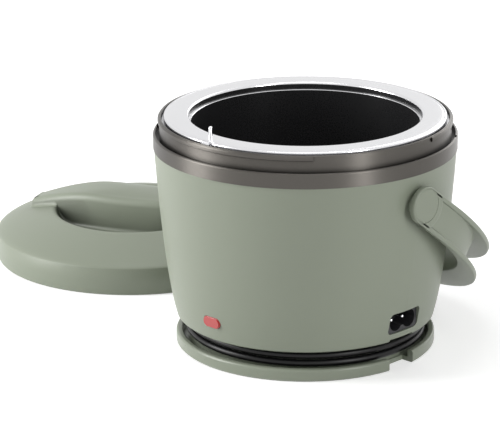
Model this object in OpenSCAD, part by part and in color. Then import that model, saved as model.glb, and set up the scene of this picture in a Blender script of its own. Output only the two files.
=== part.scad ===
// Electric lunch box with a tapered shell, a heated well, a lift-out food pot,
// a bail handle, a cord wound on its base and a twist lid that lies beside it.
// Millimetres, Z up, origin on the table at the centre of the base, front at -Y.

/* [Base tray] */
// How far the tray's flange stands out beyond the shell's lower edge
flange_out = 0.7; // [0.2:0.1:2]
// Height of the flange above the table
tray_h = 6.5; // [5.5:0.1:7.5]
// Thickness of the tray's floor
tray_floor = 2.4; // [2:0.1:2.8]
// Height of the open groove between the flange and the shell
groove_h = 8.9; // [8.7:0.1:12]
// How far inside the shell's lower edge the spool's face lies
spool_in = 8.6; // [7.8:0.1:9.4]
// Thickness of the spool's wall
spool_wall = 2.0; // [1.6:0.1:2.6]
// Width of the gap in the flange below the inlet
tray_gap_w = 18; // [12:0.5:20]
// Distance from the centre to the wall of the plug bay
bay_wall_x = 16; // [14:0.5:16.5]
// Direction of the plug bay, in degrees from +X
bay_turn = 135; // [130:1:140]
// Radius of the circle of base screws
screw_circle_r = 46; // [43:0.5:48]
// Radius of a base screw's shank
screw_r = 1.25; // [1:0.05:1.5]
// Radius of an anti-slip pad
pad_r = 4.5; // [3.5:0.1:5.5]
// Depth of the hollow under the tray
hollow_d = 0.8; // [0.5:0.1:1]

/* [Shell] */
// How much narrower the shell is at its lower edge than at its upper edge, on the radius
shell_taper = 11.2; // [10.4:0.1:12]
// Height of the shell
shell_h = 90.5; // [88:0.1:94]
// How far inside the upper edge the control point lies that bows the shell's side
belly_in = 4.7; // [3.6:0.1:5.6]
// Height of that control point above the lower edge
belly_h = 21.8; // [18:0.1:26]
// Thickness of the shell's wall
shell_wall = 2.4; // [2:0.1:2.6]
// Inner radius of the lip that the bottom plate rests on
lip_r = 54; // [52:0.5:55.5]
// Thickness of the lip and of the bottom plate
lip_t = 1.8; // [1.6:0.1:2]
// Width of the notch in the shell's lower edge
lead_gap_w = 17.5; // [12:0.5:19]

/* [Collar] */
// Width of the outer ring's top, outside the groove
ring_w = 1.2; // [1.1:0.05:1.5]
// How far the outer ring stands out beyond the shell
ring_over = 0.4; // [0.2:0.05:0.6]
// Height of the outer ring
ring_h = 7.7; // [7:0.1:10]
// Height of the neck above the outer ring
neck_h = 8.4; // [8:0.1:10]
// Thickness of the neck's wall
neck_wall = 0.9; // [0.8:0.05:1]
// Width of the groove between neck and ring
collar_groove_w = 2.1; // [1.6:0.1:2.4]
// Depth of that groove
collar_groove_d = 3.4; // [2.5:0.1:4]
// How far a thread rib stands out
rib_out = 0.8; // [0.5:0.05:0.9]
// Height of a thread rib
rib_h = 2.4; // [1.8:0.1:2.6]
// Arc that one thread rib covers, in degrees
rib_arc = 126; // [90:1:140]
// Width of a window in the neck
window_w = 4; // [3:0.1:5]
// Height of a window in the neck
window_h = 4.4; // [3:0.1:5]
// Gap between the well and the ledge that carries its flange
ledge_gap = 1.8; // [1.2:0.1:2.6]

/* [Food pot] */
// Radius of the pot's rim
pot_rim_r = 73.4; // [73:0.1:73.7]
// Width of the rim, from the mouth to its edge
rim_w = 13; // [12.6:0.1:13.4]
// Gap between the rim's edge and the neck's wall
rim_gap = 1.4; // [1.3:0.05:1.6]
// How far the rim stands above the neck
rim_rise = 1.1; // [0.8:0.1:1.6]
// Depth of the pot inside
pot_depth = 68.9; // [62:0.1:70]
// Thickness of the pot's wall
pot_wall = 1.0; // [0.8:0.05:1.1]
// Width of the step below the mouth
step_w = 1.2; // [1:0.1:1.5]
// Depth of the step below the rim
step_d = 3.8; // [3.4:0.1:5]
// Thickness of the flat rim
rim_t = 0.6; // [0.5:0.1:0.8]
// Distance from the rim's top to the bead that the pot rests on
bead_d = 2.8; // [2.4:0.1:3]
// Radius of the pot's bottom corner
pot_corner = 13; // [9:0.5:16]
// How far inside the rim's edge the locating pin stands
pin_in = 6.4; // [5:0.1:7]
// Sideways place of the locating pin
pin_x = -2.6; // [-6:0.1:6]
// Radius of the locating pin
pin_r = 1.0; // [0.8:0.05:1.2]
// Height of the pin above the rim
pin_h = 6.2; // [5:0.1:8]

/* [Heating well] */
// Gap between the pot's mouth and the well
mouth_gap = 0.2; // [0.15:0.05:0.4]
// Gap between the pot's floor and the well's floor
floor_gap = 0.6; // [0.4:0.1:1]
// Thickness of the well's wall
well_wall = 1.2; // [1:0.1:1.3]
// Thickness of the heater band
heater_t = 1.4; // [1:0.1:1.8]
// Height of the heater band
heater_h = 30; // [24:1:34]
// Height of the band's lower edge above the well's floor
heater_up = 16; // [14:1:20]
// Thickness of the insulation sleeve
sleeve_t = 3.2; // [2.5:0.1:3.6]
// Radius of the thermostat
thermostat_r = 8; // [6:0.5:9]
// Height of the thermostat
thermostat_h = 7; // [5:0.5:9]

/* [Inlet and lamp] */
// Height of the inlet above the table
inlet_z = 25.9; // [25.7:0.1:30]
// Width of the inlet's window
inlet_w = 22.5; // [21:0.5:24]
// Height of the inlet's window
inlet_h = 11.5; // [11:0.1:12.5]
// Distance between the two contact pins
pole_pitch = 8.6; // [8.2:0.1:9]
// Radius of a contact pin
pole_r = 1.18; // [1:0.02:1.25]
// Height of the power lamp above the table
lamp_z = 26.3; // [25:0.1:36]
// Width of the power lamp
lamp_w = 11.4; // [9:0.1:14]
// Height of the power lamp's window
lamp_h = 5.6; // [4.8:0.1:7]

/* [Handle] */
// How far the handle's pivots lie below the shell's upper edge
pivot_down = 15.6; // [14.9:0.1:21.9]
// Gap between the shell's upper edge and each arm
arm_gap = 1.7; // [1.5:0.05:2.4]
// Thickness of the strap
strap_t = 2.4; // [2:0.1:3]
// Width of the strap
strap_w = 19.5; // [17:0.1:20.4]
// Width of each of the strap's two rails
rail_w = 2.6; // [2:0.1:3.4]
// Straight length of the arms
arm_straight = 20; // [14:0.5:26]
// Gap between the shell and the grip's web when the handle hangs down
web_gap = 1.7; // [1:0.1:5]
// How far the grip's rails stand out beyond its web
rail_h = 22.5; // [14:0.5:24]
// How far the hanging handle points below level, in degrees
rest_drop = 37; // [34:0.5:38]
// Radius of a pivot pin
pivot_r = 3.5; // [3:0.1:3.8]
// Radial clearance of a pivot pin in its bore
pivot_fit = 0.05; // [0.02:0.01:0.1]

/* [Lid] */
// How far inside the ring's edge the lid's skirt lies
lid_in = 0.2; // [0:0.05:0.3]
// Height where the lid's shoulder starts
skirt_h = 15; // [14:0.5:16.5]
// Height of the control point that rounds the shoulder
shoulder_h = 19; // [18:0.5:21]
// Height of the rim round the finger well
dome_h = 26.5; // [25:0.5:27.5]
// Height of the grip bar's crown
bar_h = 38; // [37:0.5:44]
// How far the grip bar's ends lie below its crown
bar_drop = 11; // [9:0.5:12]
// Half of the grip bar's length
bar_l = 62; // [56:0.5:63]
// Half of the grip bar's width at its middle
bar_w = 17; // [14:0.5:19]
// Radius of the round finger well
finger_r = 45; // [42:0.5:48]
// Height of the finger well's floor
finger_z = 16.4; // [16:0.1:18]
// Thickness of the lid's wall
lid_wall = 1.9; // [1.5:0.1:2]
// Gap on the table between the lid and the handle's arm
lid_gap = 12; // [8:0.5:60]
// Direction from the base to the lid, in degrees from +X
lid_turn = 167; // [150:0.5:175]
// Direction of the grip bar on the lid, in degrees from +X
bar_turn = 24; // [0:1:180]

/* [Cord] */
// Diameter of the cord
cord_d = 3.7; // [3.4:0.1:3.8]
// Height that one turn of the cord climbs
cord_pitch = 4.2; // [4.15:0.05:4.3]
// Height of the upper turn at the front
cord_front_z = 12.0; // [11.9:0.1:12.3]
// Radius of the bends that lead into the plug bay
cord_bend_r = 20; // [19:0.5:21]
// Width of the mains plug
plug_w = 24; // [22:0.5:25]
// Thickness of the mains plug
plug_t = 10; // [9.2:0.1:10.4]
// Length of the mains plug's body
plug_l = 18; // [16:0.5:18.5]
// Length of a plug blade
blade_l = 15.9; // [14:0.1:16.2]
// Length of the cord connector
conn_l = 19; // [17:0.5:19.5]
// Length of each strain relief
relief_l = 7; // [6:0.5:7.3]

/* [Hidden] */
$fn = 96;

// Colours
sage = [0.59, 0.62, 0.56];
gunmetal = [0.42, 0.40, 0.39];
steel = [0.80, 0.80, 0.81];
alloy = [0.66, 0.66, 0.67];
black = [0.07, 0.07, 0.07];
wool = [0.90, 0.88, 0.80];
brass = [0.78, 0.64, 0.32];

// Small clearances
seat = 0.3;
slip = 0.1;
cut = 1;
edge = 0.8;
chamfer = 0.3;

// Radii from the pot's rim outwards, and down the shell
neck_in_r = pot_rim_r + rim_gap;
neck_r = neck_in_r + neck_wall;
ring_r = neck_r + collar_groove_w + ring_w;
shell_r1 = ring_r - ring_over;
belly_r = shell_r1 - belly_in;
shell_r0 = shell_r1 - shell_taper;
tray_r = shell_r0 + flange_out;
spool_r = shell_r0 - spool_in;
lid_r = ring_r - lid_in;
arm_x = shell_r1 + arm_gap;
mouth_r = pot_rim_r - rim_w;
pin_y = pot_rim_r - pin_in;

// Heights of the main levels
shell_z0 = tray_h + groove_h;
shell_z1 = shell_z0 + shell_h;
ring_z1 = shell_z1 + ring_h;
neck_z1 = ring_z1 + neck_h;
rim_z = neck_z1 + rim_rise;
pivot_z = shell_z1 - pivot_down;
lip_z0 = shell_z0 + 0.9;
plate_z0 = lip_z0 + lip_t;
plate_z1 = plate_z0 + lip_t;

// Tray and spool
trough_w = cord_d + 2.0;
flange_in_r = spool_r + trough_w;
trough_rib_w = 1.2;
trough_rib_h = 1.1;
trough_rib_turns = [30, 90, 150, 210, 270, 330];
flange_round = 1.4;
trough_round = 1.0;
gap_in = 1.5;
screw_turns = [180, 95, -95];
post_r = screw_r + 2.35;
boss_h = 7.5;
head_r = screw_r + 1.75;
head_h = 2;
hole_gap = 0.4;
thread_gap = 0.05;
slot_w = 0.8;
slot_l = 3.2;
pad_turns = [0, 90, 180, 270];
pad_circle_r = spool_r - 6;
pad_t = 1.6;
centre_pad_r = 14;

// Collar and well
skirt_z0 = shell_z1 - 6;
bead_z = rim_z - bead_d;
bead_w = 2;
well_flange_t = 1.0;
well_flange_z = bead_z - slip - well_flange_t;
ledge_z = well_flange_z - slip;
ledge_t = 2.2;
ring_edge = 0.9;
rib_in = 0.4;
rib_turns = [190, 10];
window_turns = [35, 215];
window_z = neck_z1 - 3.3;

// Pot and well
mouth_round = 1.2;
pot_in_r = mouth_r - step_w;
pot_out_r = pot_in_r + pot_wall;
pot_floor = rim_z - pot_depth;
well_in_r = mouth_r + pot_wall + mouth_gap;
well_out_r = well_in_r + well_wall;
ledge_r = well_out_r + ledge_gap;
well_floor = pot_floor - pot_wall - floor_gap;
well_under = well_floor - well_wall;
well_corner = pot_corner + 1.5;
heater_z0 = well_floor + heater_up;
heater_z1 = heater_z0 + heater_h;
heater_r = well_out_r + slip + heater_t;
clamp_t = 0.6;
clamp_h = 8;
clamp_r = heater_r + slip + clamp_t;
clamp_z = (heater_z0 + heater_z1) / 2;
sleeve_r = clamp_r + seat;
sleeve_over = 6;
lead_r = 0.8;
lead_x = heater_r + slip + lead_r;

// Bracket and clip at the rim
pin_foot_t = 0.8;
bracket_x = pin_x + 3.6;
bracket_w = 5.2;
clip_x = pin_x + 8.2;
clip_r = 1.4;
clip_wire_r = 0.35;
clip_z = well_flange_z + well_flange_t + seat + clip_r + clip_wire_r;

// Inlet
inlet_x = radius_at(inlet_z) - 2.1;
socket_depth = 16;
cavity_depth = 12;
socket_w = inlet_w - 0.4;
socket_h = inlet_h - 0.4;
inlet_ear_y = inlet_w / 2 + 3.6;
ear_screw_r = 0.85;
ear_screw_l = 6.4;
ear_head_r = 2.2;
ear_head_t = 1.5;
ear_boss_r = 2.8;
socket_round = 2.3;
ear_x = inlet_x - 6;
ear_t = 2;
pole_tip = inlet_x - 3;
pole_back = inlet_x - socket_depth - 5;
mains_r = 0.9;
lamp_lead_r = 0.55;

// Lamp
lamp_y = radius_at(lamp_z);
lamp_proud = 0.8;
lens_depth = 5;
bulb_r = 2.4;
bulb_l = 11;
bulb_y = lamp_y - lens_depth - bulb_r - 1.2;
holder_wall = 1.5;

// Handle
pad_face = arm_x - seat;
pad_boss_r = pivot_r + 3;
pivot_in = radius_at(pivot_z) - shell_wall - 1.7;
web_x = arm_x + strap_t;
boss_face = web_x + 1;
boss_r = strap_w / 2;
arm_pad_r = boss_r + 3;
web_reach = reach_for(web_gap) + strap_t;
rail_reach = web_reach + rail_h;
lid_away = lid_r + boss_face + lid_gap;
lid_at = [lid_away * cos(lid_turn), lid_away * sin(lid_turn), 0];
pin_head_r = pivot_r + 2.4;
cap_t = 0.9;
cap_r = boss_r - 1;
pin_head_t = 1.2;
washer_t = 1.2;

// Thermal parts under the well
bracket_leg_x = thermostat_r + 9;
bracket_leg_w = 8;
bracket_leg_t = 1;
bracket_foot_l = 6;
tab_w = 5;
tab_h = 3;
tab_t = 0.8;
tab_out = 2;
fuse_y = 26;
fuse_r = 2;
fuse_l = 11;
fuse_z = well_under - slip - fuse_r - 0.6;
fuse_lead_r = 0.5;
fuse_lead_l = 5;
clip_w = 6;
clip_t = 0.5;
tab_z = well_under - slip - thermostat_h + 1.5 + tab_h / 2;
wire_sides = 8;

// Lid
lug_z = 2;
lug_t = 2.4;
shoulder_in = 3;
liner_t = 2;
liner_step = 1;
liner_edge_t = 1.8;
liner_up_r = finger_r - 3;
seal_in = 2;
seal_w = 5.6;
seal_t = 1.7;

// Cord path, in the frame of the plug bay
cord_r = spool_r + cord_d / 2 + 0.55;
bay_lane_x = 30;
bend_centre_r = cord_r - cord_bend_r;
bend_centre_x = bay_lane_x - cord_bend_r;
lane_y = sqrt(pow(bend_centre_r, 2) - pow(bend_centre_x, 2));
join_turn = atan2(lane_y, bend_centre_x);
front_turn = 313.8 - bay_turn;
wound_turn = 720 - 2 * join_turn;
bay_gap = 2.5;
bay_length = 2 * relief_l + conn_l + bay_gap + blade_l + plug_l;
lane_end = bay_length / 2;
conn_h = 13.4;
conn_w = 8.3;
conn_z = tray_floor + seat + conn_h / 2;
plug_z = tray_floor + seat + plug_t / 2;
start_z = winding_z(join_turn);
finish_z = winding_z(720 - join_turn);
wound_rings = 38;
bend_rings = 5;
lane_rings = 2;
cord_sides = 6;

// Radius of the shell's outer face at height z
function radius_at(z) =
  let(a = shell_h - 2 * belly_h, b = 2 * belly_h, c = shell_z0 - z)
  let(t = (-b + sqrt(b * b - 4 * a * c)) / (2 * a))
  (1 - t) * (1 - t) * shell_r0 + 2 * t * (1 - t) * belly_r + t * t * shell_r1;

// Reach of the web's inner face that leaves a gap between its lower corner and the shell
function corner_z(reach) = pivot_z - reach * sin(rest_drop) - strap_w / 2 * cos(rest_drop);
function reach_for(gap, tries = 8, reach = 0) =
  tries == 0
  ? reach
  : reach_for(gap, tries - 1, (radius_at(corner_z(reach)) + gap + strap_w / 2 * sin(rest_drop)) / cos(rest_drop));

// Point of a quadratic curve from p to r with control point q
function curve_point(t, p, q, r) = (1 - t) * (1 - t) * p + 2 * t * (1 - t) * q + t * t * r;

// Points of an arc round centre c
function arc(c, r, a0, a1, n) = [for (i = [0:n]) c + r * [cos(a0 + (a1 - a0) * i / n), sin(a0 + (a1 - a0) * i / n)]];

// Smooth step from 0 to 1
function ease(t) = let(s = max(0, min(1, t))) s * s * (3 - 2 * s);

// Height of the winding at an angle in the bay's frame
function winding_z(turn) = cord_front_z + cord_pitch * (front_turn - turn) / 360;

// Points of the bend between the winding and the lane; s runs from the lane to the winding
function bend_point(s, lane_z, wound_z, side) =
  let(a = join_turn * s)
  [
    bend_centre_x + cord_bend_r * cos(a),
    side * (lane_y + cord_bend_r * sin(a)),
    lane_z + (wound_z - lane_z) * ease(s / 0.65)
  ];

// Centre line of the cord, with f times the usual number of points
function cord_line(f) = concat(
  [for (i = [0:lane_rings * f - 1])
    [bay_lane_x, lane_end + (lane_y - lane_end) * i / (lane_rings * f), conn_z]],
  [for (i = [0:bend_rings * f - 1]) bend_point(i / (bend_rings * f), conn_z, start_z, 1)],
  [for (i = [0:wound_rings * f])
    let(a = join_turn + wound_turn * i / (wound_rings * f))
    [cord_r * cos(a), cord_r * sin(a), winding_z(a)]],
  [for (i = [bend_rings * f - 1:-1:0]) bend_point(i / (bend_rings * f), plug_z, finish_z, -1)],
  [for (i = [lane_rings * f - 1:-1:0])
    [bay_lane_x, -lane_end - (lane_y - lane_end) * i / (lane_rings * f), plug_z]]
);

// Rings of a tube round a line of points; ref is a direction that no run of the line follows
function unit(v) = v / norm(v);
function line_dir(p, i) = unit(p[min(i + 1, len(p) - 1)] - p[max(i - 1, 0)]);
function tube_ring(p, i, r, sides, ref) =
  let(t = line_dir(p, i), n = unit(cross(t, ref)), b = cross(n, t))
  [for (k = [0:sides - 1]) p[i] + r * (cos(360 * (k + 0.5) / sides) * n + sin(360 * (k + 0.5) / sides) * b)];
function path_length(p, i = 1) = i >= len(p) ? 0 : norm(p[i] - p[i - 1]) + path_length(p, i + 1);

fine_line = cord_line(3);
far_apart = 20;
cord_gap = min([
  for (i = [0:len(fine_line) - 1]) for (j = [i + far_apart:1:len(fine_line) - 1])
    norm(fine_line[i] - fine_line[j])
]) - cord_d;
echo(cord_length = path_length(fine_line), cord_least_gap = cord_gap);

// Closed ring between two radii and two heights
module band(r_out, r_in, z0, z1) {
  translate([0, 0, z0])
    difference() {
      cylinder(r = r_out, h = z1 - z0);
      translate([0, 0, -cut]) cylinder(r = r_in, h = z1 - z0 + 2 * cut);
    }
}

// Wedge from angle a0 to a1, for cutting or keeping part of a ring
module wedge(r, a0, a1, z0, z1) {
  translate([0, 0, z0])
    linear_extrude(z1 - z0)
      polygon(concat([[0, 0]], arc([0, 0], r, a0, a1, 12)));
}

// Slot outline with round ends
module pill(w, h) {
  square([w - h, h], center = true);
  for (s = [-1, 1]) translate([s * (w - h) / 2, 0]) circle(d = h);
}

// Rectangle with round corners
module soft_rect(w, h, r) {
  square([w - 2 * r, h], center = true);
  square([w, h - 2 * r], center = true);
  for (x = [-1, 1]) for (y = [-1, 1])
    translate([x * (w / 2 - r), y * (h / 2 - r)]) circle(r = r, $fn = 32);
}

// Tube of round section along a line of points, with flat ends
module tube(p, r, sides, ref = [0, 0, 1]) {
  n = len(p);
  s = sides;
  verts = [for (i = [0:n - 1]) each tube_ring(p, i, r, s, ref)];
  walls = [
    for (i = [0:n - 2]) for (k = [0:s - 1])
      let(a = i * s + k, b = i * s + (k + 1) % s)
      each [[a, b, a + s], [b, b + s, a + s]]
  ];
  caps = [for (k = [1:s - 2]) each [[0, k + 1, k], [(n - 1) * s, (n - 1) * s + k, (n - 1) * s + k + 1]]];
  polyhedron(points = verts, faces = concat(walls, caps));
}

module in_bay() rotate([0, 0, bay_turn]) children();

module at_screws() in_bay()
  for (a = screw_turns) rotate([0, 0, a]) translate([screw_circle_r, 0, 0]) children();

// Outline of the spool, cut straight across at the plug bay
module spool_outline(inset) {
  intersection() {
    circle(r = spool_r - inset);
    translate([bay_wall_x - inset - 2 * spool_r, -spool_r]) square([2 * spool_r, 2 * spool_r]);
  }
}

module base_tray() color(sage) {
  difference() {
    union() {
      rotate_extrude()
        polygon(concat(
          [[0, 0], [tray_r - edge, 0], [tray_r, edge]],
          arc([tray_r - flange_round, tray_h - flange_round], flange_round, 0, 90, 6),
          arc([flange_in_r + trough_round, tray_h - trough_round], trough_round, 90, 180, 5),
          [[flange_in_r, tray_floor], [0, tray_floor]]
        ));
      in_bay()
        translate([0, 0, tray_floor - edge])
          linear_extrude(lip_z0 - tray_floor + edge)
            difference() {
              spool_outline(0);
              spool_outline(spool_wall);
            }
      at_screws() cylinder(r = post_r, h = plate_z0 - slip);
      intersection() {
        union()
          for (a = trough_rib_turns)
            rotate([0, 0, a])
              translate([spool_r - edge, -trough_rib_w / 2, tray_floor - edge])
                cube([trough_w + 2 * edge, trough_rib_w, edge + trough_rib_h]);
        band(flange_in_r + edge, spool_r - edge, 0, tray_h);
      }
    }
    band(spool_r - spool_wall - 1, centre_pad_r, -cut, hollow_d);
    translate([spool_r + gap_in, -tray_gap_w / 2, -cut])
      cube([tray_r, tray_gap_w, tray_h + 2 * cut]);
    at_screws() {
      translate([0, 0, -cut]) cylinder(r = screw_r + hole_gap, h = plate_z1);
      translate([0, 0, -cut]) cylinder(r = head_r + seat, h = cut + hollow_d + head_h + 2 * slip);
    }
    for (a = pad_turns)
      rotate([0, 0, a]) translate([pad_circle_r, 0, -cut]) cylinder(r = pad_r, h = cut + pad_t);
  }
}

module foot_pads() color(black) {
  for (a = pad_turns)
    rotate([0, 0, a])
      translate([pad_circle_r, 0, 0])
        rotate_extrude()
          polygon([[0, 0], [pad_r - 0.6, 0], [pad_r - slip, 0.5], [pad_r - slip, pad_t - slip], [0, pad_t - slip]]);
}

module base_screws() color(steel) {
  at_screws()
    difference() {
      union() {
        translate([0, 0, hollow_d]) cylinder(r = head_r, h = head_h);
        translate([0, 0, hollow_d]) cylinder(r = screw_r, h = plate_z1 + boss_h - 2 - hollow_d);
      }
      translate([0, 0, hollow_d - cut])
        for (a = [0, 90])
          rotate([0, 0, a]) translate([-slot_l / 2, -slot_w / 2, 0]) cube([slot_l, slot_w, cut + head_h / 2]);
    }
}

module bottom_plate() color([0.25, 0.26, 0.25]) {
  difference() {
    union() {
      translate([0, 0, plate_z0]) cylinder(r = radius_at(plate_z0) - shell_wall - seat, h = lip_t);
      translate([0, 0, plate_z1 - edge])
        at_screws() cylinder(r = post_r + 2 * slip, h = boss_h + edge);
    }
    translate([0, 0, plate_z0 - cut]) at_screws() cylinder(r = screw_r + thread_gap, h = boss_h + 2 * cut);
  }
}

module shell_body() {
  n = 16;
  bottom = shell_z0 + edge;
  outer = [for (i = [0:n]) let(z = bottom + (shell_z1 - bottom) * i / n) [radius_at(z), z]];
  inner = [for (i = [0:n]) let(z = shell_z1 + (plate_z0 - shell_z1) * i / n) [radius_at(z) - shell_wall, z]];
  rotate_extrude()
    polygon(concat(
      [[shell_r0 - shell_wall, shell_z0], [shell_r0 - edge, shell_z0]],
      outer, inner,
      [[lip_r, plate_z0], [lip_r, lip_z0], [radius_at(lip_z0) - shell_wall, lip_z0]]
    ));
}

module outer_shell() color(sage) {
  difference() {
    union() {
      shell_body();
      for (s = [-1, 1])
        translate([s * pivot_in, 0, pivot_z])
          rotate([0, s * 90, 0]) cylinder(r = pad_boss_r, h = pad_face - pivot_in);
      for (s = [-1, 1])
        translate([ear_x, s * inlet_ear_y, inlet_z])
          rotate([0, 90, 0]) cylinder(r = ear_boss_r, h = radius_at(inlet_z) - ear_x - 3.6);
    }
    for (s = [-1, 1])
      translate([s * (pivot_in - cut), 0, pivot_z])
        rotate([0, s * 90, 0]) cylinder(r = pivot_r + pivot_fit, h = pad_face - pivot_in + 2 * cut);
    for (s = [-1, 1])
      translate([ear_x - cut, s * inlet_ear_y, inlet_z])
        rotate([0, 90, 0]) cylinder(r = ear_screw_r + thread_gap, h = 4 + cut, $fn = 32);
    translate([inlet_x - 8, 0, inlet_z])
      rotate([90, 0, 90]) linear_extrude(20) soft_rect(inlet_w, inlet_h, 2.5);
    translate([spool_r + gap_in, -lead_gap_w / 2, shell_z0 - cut])
      cube([tray_r, lead_gap_w, cut + 1.6]);
    translate([0, -lamp_y + 10, lamp_z])
      rotate([90, 0, 0]) linear_extrude(20) pill(lamp_w + 0.4, lamp_h + 0.4);
  }
}

module collar_section() {
  skirt_r = radius_at(skirt_z0) - shell_wall - 0.2;
  wall_in = neck_in_r - 2.4;
  polygon(concat(
    [[skirt_r - 2, skirt_z0], [skirt_r, skirt_z0], [skirt_r, shell_z1], [ring_r, shell_z1]],
    arc([ring_r - ring_edge, ring_z1 - ring_edge], ring_edge, 0, 90, 6),
    [
      [neck_r + collar_groove_w, ring_z1],
      [neck_r + collar_groove_w, ring_z1 - collar_groove_d],
      [neck_r, ring_z1 - collar_groove_d],
      [neck_r, neck_z1 - chamfer],
      [neck_r - chamfer, neck_z1],
      [neck_in_r, neck_z1],
      [neck_in_r, ledge_z],
      [ledge_r, ledge_z],
      [ledge_r, ledge_z - ledge_t],
      [wall_in, ledge_z - ledge_t],
      [wall_in, shell_z1 + 2.2],
      [skirt_r - 2, shell_z1 + 2.2]
    ]
  ));
}

module collar_ring() color(gunmetal) {
  difference() {
    rotate_extrude() collar_section();
    for (a = window_turns)
      rotate([0, 0, a]) {
        translate([neck_r - 0.5, 0, window_z])
          rotate([90, 0, 90]) linear_extrude(3) soft_rect(window_w, window_h, 1.2);
        translate([neck_r + collar_groove_w - 0.5, -window_w / 2, ring_z1 - 2])
          cube([1.3, window_w, 3]);
      }
  }
  for (a = rib_turns)
    intersection() {
      rotate_extrude()
        polygon([
          [neck_r - rib_in, neck_z1 - chamfer - rib_h],
          [neck_r, neck_z1 - chamfer - rib_h],
          [neck_r + rib_out, neck_z1 - chamfer - rib_h + 0.5],
          [neck_r + rib_out, neck_z1 - 3 * chamfer],
          [neck_r + rib_out - rib_in, neck_z1 - chamfer],
          [neck_r - rib_in, neck_z1 - chamfer]
        ]);
      wedge(2 * neck_r, a, a + rib_arc, ring_z1, neck_z1 + cut);
    }
}

module heating_well() color(alloy) {
  n = 8;
  top = well_flange_z + well_flange_t;
  rotate_extrude()
    polygon(concat(
      [[0, well_under]],
      arc([well_out_r - well_corner, well_under + well_corner], well_corner, -90, 0, n),
      [[well_out_r, well_flange_z], [neck_in_r - seat, well_flange_z], [neck_in_r - seat, top], [well_in_r, top]],
      arc(
        [well_in_r - well_corner + well_wall, well_floor + well_corner - well_wall],
        well_corner - well_wall, 0, -90, n
      ),
      [[0, well_floor]]
    ));
}

module heater_band() color([0.72, 0.30, 0.16]) {
  difference() {
    band(heater_r, well_out_r + slip, heater_z0, heater_z1);
    wedge(2 * heater_r, 178, 182, heater_z0 - cut, heater_z1 + cut);
  }
}

module band_strap() color(steel) {
  difference() {
    band(clamp_r, heater_r + slip, clamp_z - clamp_h / 2, clamp_z + clamp_h / 2);
    wedge(2 * heater_r, 179, 181, clamp_z - clamp_h, clamp_z + clamp_h);
  }
}

module insulation_sleeve() color(wool) {
  difference() {
    band(sleeve_r + sleeve_t, sleeve_r, heater_z0 - sleeve_over, heater_z1 + sleeve_over / 3);
    wedge(2 * sleeve_r, 172, 188, heater_z0 - 2 * sleeve_over, heater_z1 + sleeve_over);
  }
}

module thermostat() color([0.16, 0.16, 0.17]) {
  translate([0, 0, well_under - slip - thermostat_h]) {
    cylinder(r = thermostat_r, h = thermostat_h - 2);
    cylinder(r = thermostat_r - 1, h = thermostat_h);
    for (s = [-1, 1])
      translate([-tab_t / 2, s * (thermostat_r + tab_out) - tab_w / 2, 1.5]) cube([tab_t, tab_w, tab_h]);
  }
}

module thermostat_bracket() color(steel) {
  top = well_under - slip;
  bottom = top - thermostat_h - slip - bracket_leg_t;
  inner_x = bracket_leg_x - bracket_leg_t;
  difference() {
    union() {
      translate([-bracket_leg_x, -bracket_leg_w / 2, bottom])
        cube([2 * bracket_leg_x, bracket_leg_w, bracket_leg_t]);
      for (s = [0, 1])
        mirror([s, 0, 0]) {
          translate([inner_x, -bracket_leg_w / 2, bottom]) cube([bracket_leg_t, bracket_leg_w, top - bottom]);
          translate([inner_x, -bracket_leg_w / 2, top - bracket_leg_t])
            cube([bracket_leg_t + bracket_foot_l, bracket_leg_w, bracket_leg_t]);
        }
    }
    for (s = [-1, 1])
      translate([s * (bracket_leg_x + bracket_foot_l / 2), 0, top - 2 * bracket_leg_t])
        cylinder(r = 1.2, h = 3 * bracket_leg_t, $fn = 32);
  }
}

module thermal_fuse() color([0.86, 0.84, 0.80]) {
  translate([-fuse_l / 2, fuse_y, fuse_z]) rotate([0, 90, 0]) cylinder(r = fuse_r, h = fuse_l);
  translate([-fuse_l / 2 - fuse_lead_l, fuse_y, fuse_z])
    rotate([0, 90, 0]) cylinder(r = fuse_lead_r, h = fuse_l + 2 * fuse_lead_l, $fn = 24);
}

module fuse_clip() color(steel) {
  r_in = fuse_r + slip;
  r_out = r_in + clip_t;
  translate([0, fuse_y, fuse_z])
    rotate([0, 90, 0])
      difference() {
        union() {
          cylinder(r = r_out, h = clip_w, center = true);
          translate([-r_out, -clip_w, -clip_w / 2]) cube([clip_t + slip, 2 * clip_w, clip_w]);
        }
        cylinder(r = r_in, h = clip_w + 2 * cut, center = true);
      }
}

// Outline of a two-pole connector, with a step of the given depth above and below its waist
module two_lobes(w, h, step_over, step_under) {
  for (s = [-1, 1]) translate([s * (w - h) / 2, 0]) circle(d = h, $fn = 48);
  translate([-(w - h) / 2, step_under - h / 2]) square([w - h, h - step_over - step_under]);
}

module inlet_socket() color(black) {
  cavity_w = socket_w - 3;
  cavity_h = socket_h - 1.6;
  difference() {
    union() {
      translate([inlet_x - socket_depth, 0, inlet_z])
        rotate([90, 0, 90]) linear_extrude(socket_depth) soft_rect(socket_w, socket_h, socket_round);
      translate([ear_x - ear_t, 0, inlet_z])
        rotate([90, 0, 90])
          linear_extrude(ear_t - slip) soft_rect(2 * inlet_ear_y + 6, socket_h, socket_round);
    }
    translate([inlet_x - cavity_depth, 0, inlet_z])
      rotate([90, 0, 90]) linear_extrude(cavity_depth + cut) two_lobes(cavity_w, cavity_h, 0.01, 2);
    for (s = [-1, 1]) {
      translate([inlet_x - socket_depth - cut, s * pole_pitch / 2, inlet_z])
        rotate([0, 90, 0]) cylinder(r = pole_r + 0.02, h = socket_depth, $fn = 48);
      translate([ear_x - ear_t - cut, s * inlet_ear_y, inlet_z])
        rotate([0, 90, 0]) cylinder(r = ear_screw_r + hole_gap + thread_gap, h = ear_t + 2 * cut, $fn = 32);
    }
  }
}

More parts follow.
